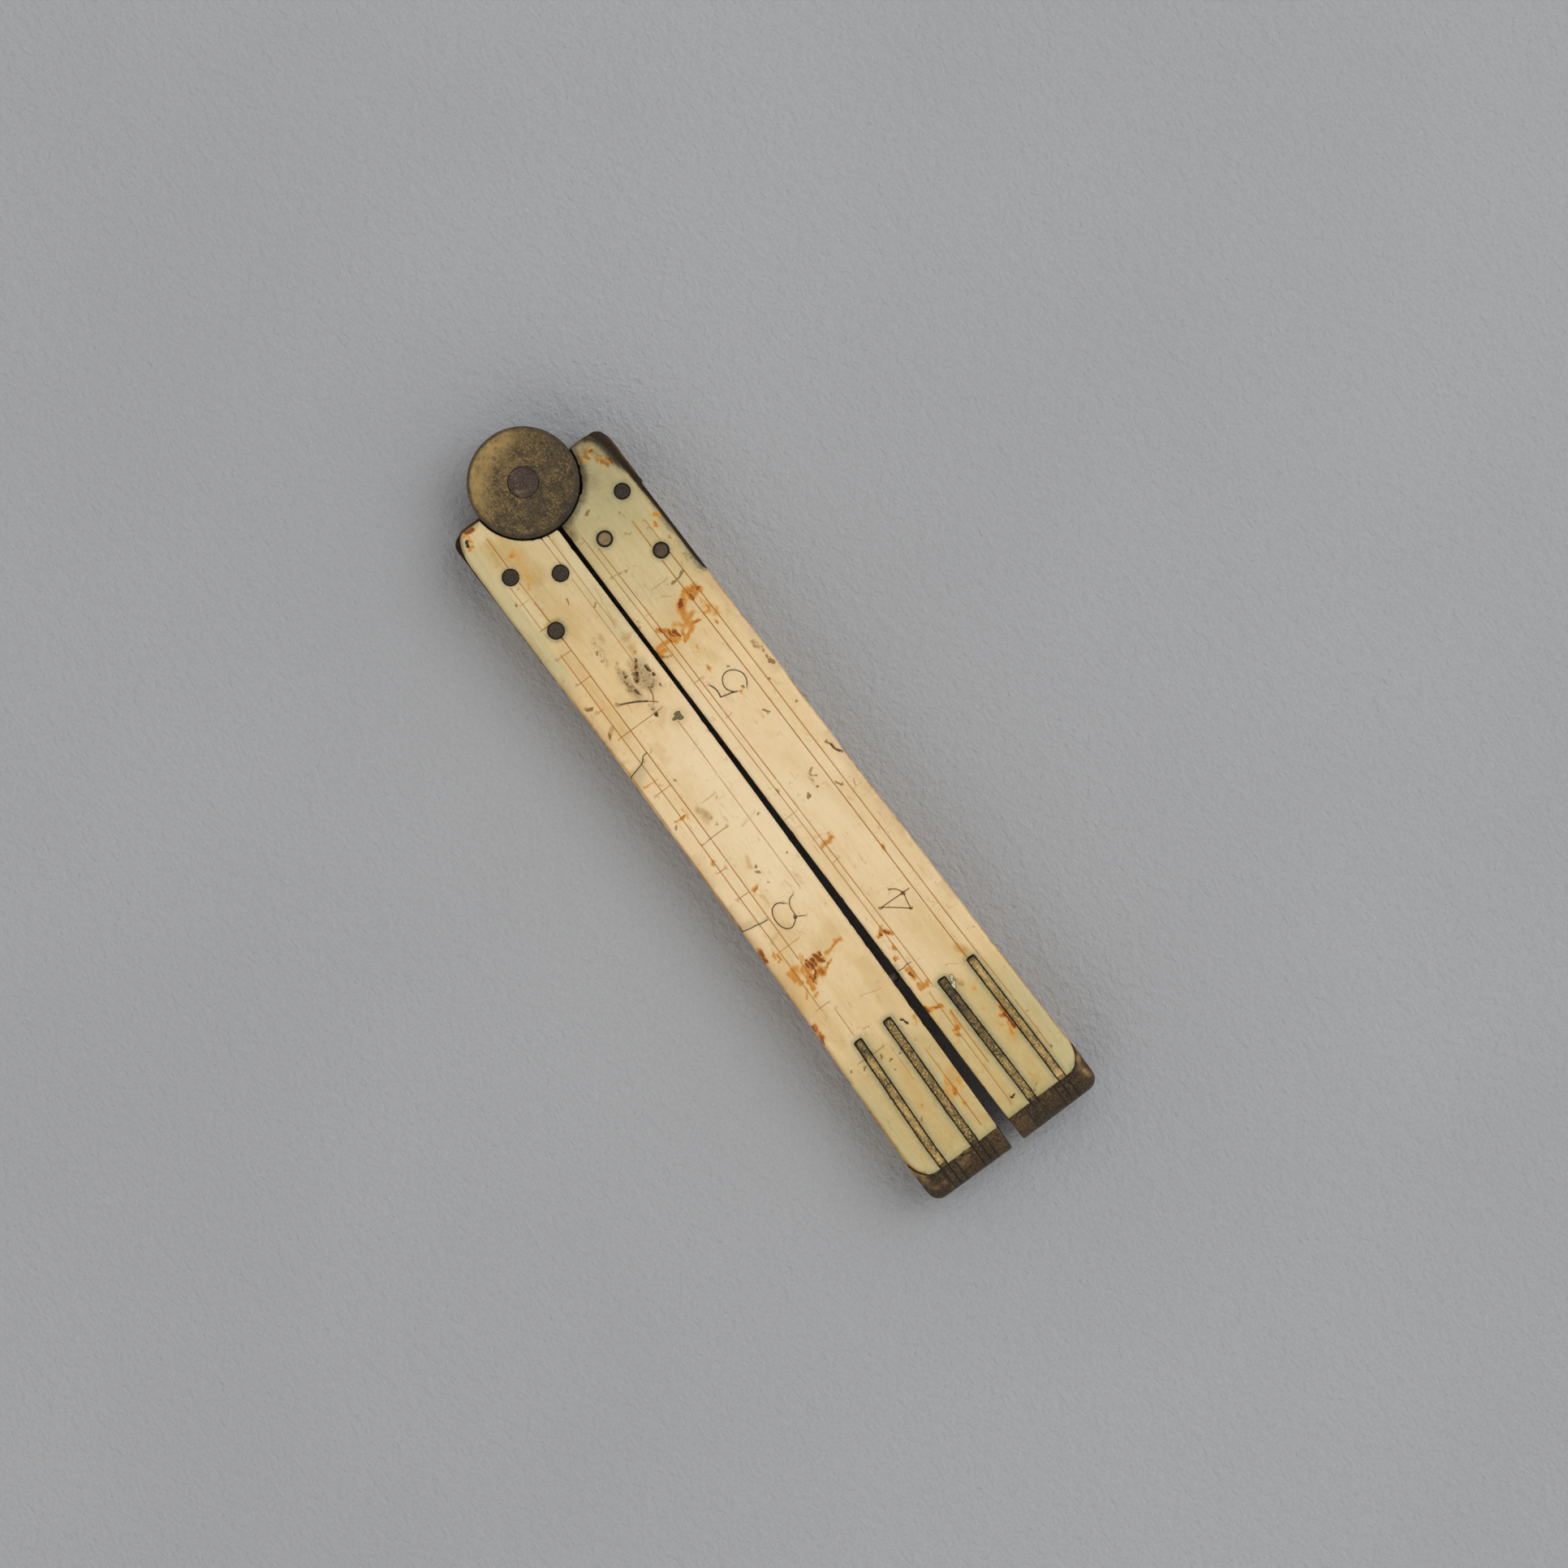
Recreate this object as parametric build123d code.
from build123d import *
import os
from dataclasses import dataclass
from math import degrees

# A twelve-inch, four-fold pocket rule, folded flat and lying on a table.
# Four ivory legs of three inches each. Legs 3 and 2 lie on top, side by side, and turn on the round
# brass head joint. Legs 4 and 1 are folded under them, on brass end hinges.
# Building frame: the head joint's axis is Z through 0,0; X runs from the head to the end hinges;
# z = 0 is the parting plane between the upper and the lower legs. Both sides are built with y
# pointing outwards from the head joint. Legs 3 and 4 are then mirrored to y < 0, legs 2 and 1 are
# turned open at y > 0, and all is shifted so that the origin is the bottom centre of the folded
# rule's box. All sizes are in millimetres.

# ---------------------------------------------------------------- legs
INCH = 25.4
LEG = 3 * INCH                 # head joint axis to end hinge axis
T = 2.90                       # thickness of one leg
GAP = 0.02                     # half the gap at the parting plane
OPEN_ANGLE = 0.80              # degrees by which legs 2 and 1 stand open from legs 3 and 4
SHIFT = (-36.70, -0.82, T)     # building frame to final frame

TIP = 0.03                     # where the lower legs end at the head
END = LEG - 0.03               # where the ivory ends at the hinges
HEAD_CORNER = 1.70             # rounding of the upper legs' outer corner at the head
END_CORNER = 2.30              # rounding of the outer corner at the hinge end
SOFT = 0.30                    # softening of the long outer edges
STRAIGHT_BOW = 0.02            # an inner edge bowed less than this is drawn straight

OVER = 1.0                     # how far cutters run past what they cut
SIDE_OVER = 2.0                # the same for cutters across a leg
CUT_X = -2.0                   # where cutters at the head start
CUT_Y = (-3.0, 14.0)           # a span wider than any leg

# ---------------------------------------------------------------- head joint
DISC_R = 5.38
DISC_BOTTOM = 0.05
DISC_TOP = T + 0.25            # the top disc stands a little proud
DISC_SOFT = 0.35
ARC_R = 5.52                   # the ivory's arc round the discs
PLATE_LO, PLATE_HI = 1.05, 1.85
PLATE_PLAY = 0.02              # the tongue runs between the discs with this play
TONGUE_R = 4.20
FORK_R = 4.26
PLATE_END = 17.0
PLATE_PROUD = 0.12
PLATE_CORNER = 1.10
RIVET_R = 1.50
RIVET_PLAY = 0.05
PLATE_PIN_R = 0.77

# ---------------------------------------------------------------- end hinges
BARREL_R = 2.55
HOLLOW_R = 2.64                # hollow cut in the ivory's ends round the barrel
LEAF_START = 61.70
LEAF_BEND = 73.30              # the leaves run straight from here to the barrel
LEAF_LAP = 0.10                # overlap of a leaf's two lengths at the bend
LEAF_T = 0.73
PLAY = 0.025                   # side play between knuckles of different legs
PIN_R = 0.55
PIN_PLAY = 0.04
PIN_INSET = 0.06               # hinge pin's inner end, in from the inner edge
KNUCKLE_WALL = 0.45            # brass left over the hinge pin's outer end
OUTER_KNUCKLE_SOFT = 1.25
INNER_KNUCKLE_SOFT = 0.20
CHEEK_SETBACK = 0.45           # cheek's start, past the start of the ivory's rounded corner
CHEEK_PLAY = 0.02
CHEEK_DROP = 0.06              # cheek's top, below the leg's face
CROSS_R = 0.55
CROSS_X = (LEG - 12.1, LEG - 6.85)
CROSS_INSET_IN = 0.90
CROSS_INSET_OUT = 0.20

# ---------------------------------------------------------------- tips of the lower legs
CAP_LEN = 6.50
CAP_T = 0.55
CAP_CORNER = 1.60
CAP_TRIM = 0.03                # cap's outer reference line, in from the leg's edge
CORE_OVER = 5.0                # how far the cap's core runs on into the leg
CAP_PIN_R = 0.42
CAP_PIN_X = (2.6, 5.1)
CAP_PIN_INSET = 0.04
CAP_PIN_REACH_IN = 2.0         # depth of the pins' far ends, from the inner edge
CAP_PIN_REACH_OUT = 2.2        # and from the outer edge

# ---------------------------------------------------------------- closing pin
CLOSE_X = 58.80
CLOSE_R = 0.45
CLOSE_EDGE = -0.30             # y of leg 3's inner edge at the pin
CLOSE_OUT = 0.85               # how far the pin stands out of that edge
CLOSE_DEPTH = 2.2              # how far it reaches into leg 3
CLOSE_HOLE_PLAY = 0.20
CLOSE_HOLE_Y = (-0.5, 2.1)     # span of its hole in leg 2


@dataclass
class Side:
    """An upper leg and the lower leg under it."""
    upper: int                 # leg numbers
    lower: int
    inner: tuple               # y of the inner edge: head end, middle, hinge end
    outer: tuple               # y of the outer edge: the same places
    head_x: float              # where the upper ivory ends at the head
    tongue: bool               # the head plate is the tongue, otherwise the fork
    plate_pins: tuple          # (x, y) of each pin
    leaves: tuple              # upper leaves: (y, inward drift at the far end), inner then outer
    cap_proud: float           # how far the tip cap stands out of the outer edge
    cap_shift: float           # outward shift of the cap's inner reference line

    def across(self, x, z, radius):
        """A cutter through the whole width of the leg."""
        return cyl_y(x, z, radius, self.inner[2] - SIDE_OVER, self.outer[2] + SIDE_OVER)


SIDE_3_4 = Side(
    upper=3, lower=4,
    inner=(0.04, -0.35, -0.16), outer=(8.85, 8.50, 8.96),
    head_x=0.45, tongue=True,
    plate_pins=((6.58, 6.32), (13.22, 5.81), (9.07, 2.24)),
    leaves=((2.49, 0.17), (6.13, 0.40)),
    cap_proud=0.0, cap_shift=-0.08,
)
SIDE_2_1 = Side(
    upper=2, lower=1,
    inner=(0.385, 0.385, 0.40), outer=(8.86, 9.12, 9.55),
    head_x=0.04, tongue=False,
    plate_pins=((6.33, 7.02), (13.04, 6.59), (8.95, 2.96)),
    leaves=((3.38, 0.09), (6.82, 0.08)),
    cap_proud=0.38, cap_shift=0.0,
)


# ---------------------------------------------------------------- helpers
def cyl_z(x, y, radius, z0, z1):
    """A round bar along Z."""
    return Pos(x, y, (z0 + z1) / 2) * Cylinder(radius, z1 - z0)


def cyl_y(x, z, radius, y0, y1):
    """A round bar along Y."""
    return Pos(x, (y0 + y1) / 2, z) * Rot(90, 0, 0) * Cylinder(radius, y1 - y0)


def block(x0, x1, y0, y1, z0, z1):
    return Pos((x0 + x1) / 2, (y0 + y1) / 2, (z0 + z1) / 2) * Box(x1 - x0, y1 - y0, z1 - z0)


def cut_all(shape, cutters):
    for cutter in cutters:
        shape = shape - cutter
    return shape


def group(bars):
    return Compound(children=[bar.solid() for bar in bars])


def edge_y(edge, x):
    """The y of a long edge at x: a parabola through its head, middle and hinge values."""
    head, middle, hinge = edge
    t = x / LEG
    return head * (1 - t) * (1 - 2 * t) + 4 * middle * t * (1 - t) + hinge * t * (2 * t - 1)


def leg_slab(side, x0, x1, z0, z1, proud=0.0):
    """A length of the leg's plan, with its slightly bowed long edges, drawn out from z0 to z1."""
    stations = (x0, (x0 + x1) / 2, x1)
    in0, in_mid, in1 = [(x, edge_y(side.inner, x)) for x in stations]
    out0, out_mid, out1 = [(x, edge_y(side.outer, x) + proud) for x in stations]
    straight = abs(in_mid[1] - (in0[1] + in1[1]) / 2) < STRAIGHT_BOW
    inner = Line(in0, in1) if straight else ThreePointArc(in0, in_mid, in1)
    outer = ThreePointArc(out1, out_mid, out0)
    face = make_face([inner, Line(in1, out1), outer, Line(out0, in0)])
    return extrude(Pos(0, 0, z0) * face, z1 - z0, dir=(0, 0, 1))


def round_corner(solid, x, radius):
    """Rounds the outer upright corner at x."""
    uprights = [e for e in solid.edges().filter_by(Axis.Z) if abs(e.center().X - x) < 0.05]
    return fillet(max(uprights, key=lambda e: e.center().Y), radius)


def soften_outer(solid, z):
    """Softens the edges at height z that run along the outer side and round its corners."""
    edges = [
        e
        for e in solid.edges()
        if abs(e.center().Z - z) < 1e-4 and e.bounding_box().size.Z < 1e-4
        and e.center().Y > 6.0 and e.length > 0.5
    ]
    return fillet(edges, SOFT)


def round_rim(barrel, y, radius):
    """Rounds a Y barrel's rim at y."""
    rim = [
        e
        for e in barrel.edges()
        if e.geom_type == GeomType.CIRCLE and abs(e.center().Y - y) < 1e-3
    ]
    return fillet(rim, radius)


def z_range(level):
    """Bottom and top of a leg: level is 1 for an upper leg, -1 for a lower one."""
    return sorted((level * GAP, level * T))


def ivory_blank(side, head_x, head_corner, level):
    ivory = leg_slab(side, head_x, END, *z_range(level))
    ivory = round_corner(ivory, head_x, head_corner)
    ivory = round_corner(ivory, END, END_CORNER)
    return soften_outer(ivory, level * T)


# ---------------------------------------------------------------- head joint pieces
def head_plate(side):
    """The brass plate, its pins, and the ivory blank cut to take them."""
    play = PLATE_PLAY if side.tongue else 0.0
    z0, z1 = PLATE_LO + play, PLATE_HI - play
    plate = leg_slab(side, side.head_x, PLATE_END, z0, z1, PLATE_PROUD)
    plate = round_corner(plate, side.head_x, PLATE_CORNER)
    if side.tongue:
        plate = plate + cyl_z(0, 0, TONGUE_R, z0, z1)
    eye_radius = RIVET_R + RIVET_PLAY if side.tongue else FORK_R
    plate = plate - cyl_z(0, 0, eye_radius, z0 - OVER, z1 + OVER)

    ivory = ivory_blank(side, side.head_x, HEAD_CORNER, level=1)
    for x, y in side.plate_pins:
        plate = plate - cyl_z(x, y, PLATE_PIN_R, z0 - OVER, z1 + OVER)
        ivory = ivory - cyl_z(x, y, PLATE_PIN_R, -OVER, T + OVER)
    ivory = ivory - block(CUT_X, PLATE_END, *CUT_Y, z0, z1)
    ivory = ivory - cyl_z(0, 0, ARC_R, -OVER, T + OVER)
    pins = group([cyl_z(x, y, PLATE_PIN_R, GAP, T) for x, y in side.plate_pins])
    return plate, pins, ivory


def head_pieces():
    """The two discs and the rivet through them."""
    rivet_hole = cyl_z(0, 0, RIVET_R, 0, DISC_TOP + OVER)
    top = cyl_z(0, 0, DISC_R, PLATE_HI, DISC_TOP)
    rim = [e for e in top.edges() if e.geom_type == GeomType.CIRCLE and e.center().Z > T]
    top = fillet(rim, DISC_SOFT)
    return {
        "head_disc_top": top - rivet_hole,
        "head_disc_bottom": cyl_z(0, 0, DISC_R, DISC_BOTTOM, PLATE_LO) - rivet_hole,
        "head_rivet": cyl_z(0, 0, RIVET_R, DISC_BOTTOM, DISC_TOP),
    }


# ---------------------------------------------------------------- end hinge pieces
def leaf_bar(y, drift, level):
    """A leaf without its eye: straight at the barrel, drifting inwards beyond the bend."""
    half = LEAF_T / 2
    z0, z1 = z_range(level)
    length = LEAF_BEND - LEAF_START
    arm = block(-length, LEAF_LAP, -half, half, z0, z1)
    arm = Pos(LEAF_BEND, y, 0) * Rot(0, 0, degrees(drift / length)) * arm
    return block(LEAF_BEND, END, y - half, y + half, z0, z1) + arm


def hinge_end(side, ivory, leaves, level, bore_radius):
    """Cuts a leg's hinge end; returns the ivory, its two leaves and its cross pins."""
    cross_z = level * T / 2
    cross_holes = [side.across(x, cross_z, CROSS_R) for x in CROSS_X]
    ivory = ivory - side.across(LEG, 0, HOLLOW_R)
    pieces = []
    for y, drift in leaves:
        bar = leaf_bar(y, drift, level)
        ivory = ivory - bar
        eye = cyl_y(LEG, 0, BARREL_R, y - LEAF_T / 2, y + LEAF_T / 2)
        leaf = bar + eye - side.across(LEG, 0, bore_radius)
        pieces.append(cut_all(leaf, cross_holes))
    ivory = cut_all(ivory, cross_holes)
    y0, y1 = side.inner[2] + CROSS_INSET_IN, side.outer[2] - CROSS_INSET_OUT
    cross_pins = group([cyl_y(x, cross_z, CROSS_R, y0, y1) for x in CROSS_X])
    return ivory, pieces, cross_pins


def outer_knuckle(side):
    """The upper leg's outer knuckle, with the cheek that fills the ivory's rounded corner."""
    y_out = side.outer[2]
    knuckle = cyl_y(LEG, 0, BARREL_R, side.leaves[1][0] + LEAF_T / 2, y_out)
    knuckle = round_rim(knuckle, y_out, OUTER_KNUCKLE_SOFT)
    corner_x, corner_y = END - END_CORNER, y_out - END_CORNER
    cheek = block(corner_x + CHEEK_SETBACK, END, corner_y, y_out, GAP, T - CHEEK_DROP)
    cheek = cheek - cyl_z(corner_x, corner_y, END_CORNER + CHEEK_PLAY, -OVER, T + OVER)
    knuckle = knuckle + cheek
    return knuckle - cyl_y(LEG, 0, PIN_R, side.inner[2] - SIDE_OVER, y_out - KNUCKLE_WALL)


# ---------------------------------------------------------------- legs
def upper_leg(side):
    plate, plate_pins, ivory = head_plate(side)
    ivory, leaves, cross_pins = hinge_end(side, ivory, side.leaves, 1, PIN_R)
    pin_y = (side.inner[2] + PIN_INSET, side.outer[2] - KNUCKLE_WALL)
    leg = f"leg{side.upper}_"
    return {
        leg + "ivory": ivory,
        leg + ("tongue_plate" if side.tongue else "fork_plate"): plate,
        leg + "plate_pins": plate_pins,
        leg + "hinge_leaf_inner": leaves[0],
        leg + "hinge_leaf_outer": leaves[1],
        leg + "outer_knuckle": outer_knuckle(side),
        leg + "hinge_pin": cyl_y(LEG, 0, PIN_R, *pin_y),
        leg + "cross_pins": cross_pins,
    }


def tip_cap(side, ivory):
    """A brass strip bent round the lower leg's free end, pinned on both edges."""
    y_in = side.inner[0] + side.cap_shift
    y_out = side.outer[0] - CAP_TRIM + side.cap_proud
    cap = leg_slab(side, TIP, CAP_LEN, *z_range(-1), side.cap_proud)
    cap = round_corner(cap, TIP, CAP_CORNER)
    core_x = TIP + CAP_T
    core = block(core_x, CAP_LEN + CORE_OVER, y_in + CAP_T, y_out - CAP_T, -T - OVER, OVER)
    core = round_corner(core, core_x, CAP_CORNER - CAP_T)
    room = block(CUT_X, CAP_LEN, *CUT_Y, -T - OVER, OVER) - core
    spans = (
        (y_in + CAP_PIN_INSET, y_in + CAP_PIN_REACH_IN),
        (y_out - CAP_PIN_REACH_OUT, y_out - CAP_PIN_INSET),
    )
    pins = [cyl_y(x, -T / 2, CAP_PIN_R, *span) for x in CAP_PIN_X for span in spans]
    cap = cut_all(cap - core, pins)
    ivory = cut_all(ivory - room, pins)
    return cap, group(pins), ivory


def lower_leg(side):
    half = LEAF_T / 2
    bore_radius = PIN_R + PIN_PLAY
    # each lower leaf lies against the inner face of an upper leaf
    inner_y, middle_y = [y - LEAF_T - PLAY for y, _ in side.leaves]
    ivory = ivory_blank(side, TIP, CAP_CORNER, level=-1)
    ivory, leaves, cross_pins = hinge_end(
        side, ivory, ((inner_y, 0.0), (middle_y, 0.0)), -1, bore_radius
    )
    cap, cap_pins, ivory = tip_cap(side, ivory)

    bore = side.across(LEG, 0, bore_radius)
    inner_knuckle = cyl_y(LEG, 0, BARREL_R, side.inner[2], inner_y - half)
    inner_knuckle = round_rim(inner_knuckle, side.inner[2], INNER_KNUCKLE_SOFT)
    middle_start = side.leaves[0][0] + half + PLAY
    leg = f"leg{side.lower}_"
    return {
        leg + "ivory": ivory,
        leg + "hinge_leaf_inner": leaves[0],
        leg + "hinge_leaf_middle": leaves[1],
        leg + "inner_knuckle": inner_knuckle - bore,
        leg + "middle_knuckle": cyl_y(LEG, 0, BARREL_R, middle_start, middle_y - half) - bore,
        leg + "cross_pins": cross_pins,
        leg + "tip_cap": cap,
        leg + "tip_pins": cap_pins,
    }


# ---------------------------------------------------------------- assembly
def write(name, placed):
    parts = (Pos(*SHIFT) * placed).solids()
    out = parts[0] if len(parts) == 1 else Compound(children=list(parts))
    export_step(out, f"parts/{name}.step")


mirrored = upper_leg(SIDE_3_4) | lower_leg(SIDE_3_4)
opened = upper_leg(SIDE_2_1) | lower_leg(SIDE_2_1) | head_pieces()

# the closing pin is set in leg 3 and enters a wider hole in leg 2
closing_pin = cyl_y(CLOSE_X, T / 2, CLOSE_R, CLOSE_EDGE - CLOSE_OUT, CLOSE_EDGE + CLOSE_DEPTH)
closing_hole = cyl_y(CLOSE_X, T / 2, CLOSE_R + CLOSE_HOLE_PLAY, *CLOSE_HOLE_Y)
mirrored["leg3_ivory"] = mirrored["leg3_ivory"] - closing_pin
mirrored["closing_pin"] = closing_pin
opened["leg2_ivory"] = opened["leg2_ivory"] - closing_hole

os.makedirs("parts", exist_ok=True)
for name, shape in mirrored.items():
    write(name, mirror(shape, about=Plane.XZ))
for name, shape in opened.items():
    write(name, Rot(0, 0, OPEN_ANGLE) * shape)
